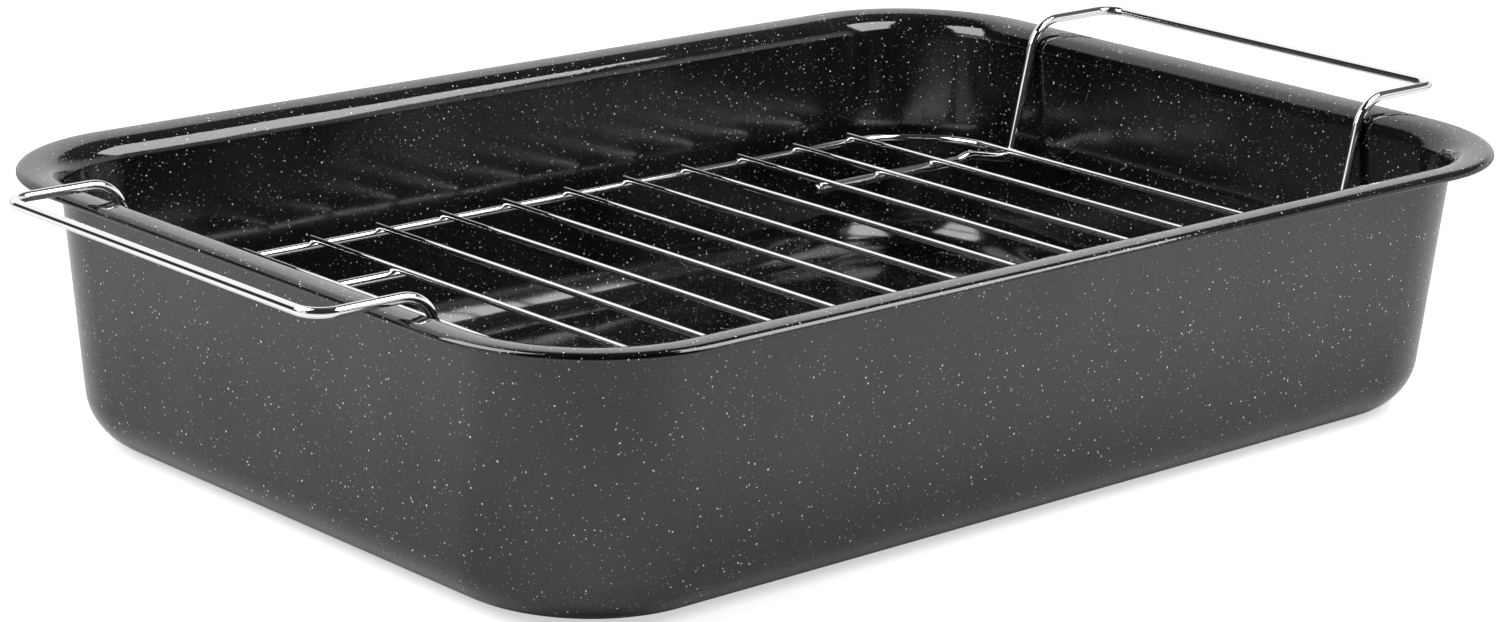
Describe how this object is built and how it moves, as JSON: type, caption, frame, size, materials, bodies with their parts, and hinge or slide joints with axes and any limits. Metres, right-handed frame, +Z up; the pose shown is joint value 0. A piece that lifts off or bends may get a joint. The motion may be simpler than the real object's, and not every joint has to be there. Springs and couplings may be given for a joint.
{
  "type": "roasting pan",
  "caption": "Deep rectangular enamelled roasting pan with rounded corners, a flat turned-out lip and a chromed wire rack hung in it by two wire handles.",
  "frame": {"origin": "middle of the underside of the pan's floor", "axes": "+X along the pan towards one handle, +Y across it, +Z up out of its mouth"},
  "size_m": [0.439, 0.274, 0.0855],
  "materials": {
    "enamel": "glossy black vitreous enamel on pressed steel, with fine white speckles",
    "chromed_wire": "bright chrome-plated steel wire"
  },
  "bodies": {
    "root": {"pan": "enamel", "rack_frame": "chromed_wire", "cross_wire_01": "chromed_wire", "cross_wire_02": "chromed_wire", "cross_wire_03": "chromed_wire", "cross_wire_04": "chromed_wire", "cross_wire_05": "chromed_wire", "cross_wire_06": "chromed_wire", "cross_wire_07": "chromed_wire", "cross_wire_08": "chromed_wire", "cross_wire_09": "chromed_wire", "cross_wire_10": "chromed_wire", "cross_wire_11": "chromed_wire", "cross_wire_12": "chromed_wire", "left_handle": "chromed_wire", "right_handle": "chromed_wire"}
  },
  "joints": []
}
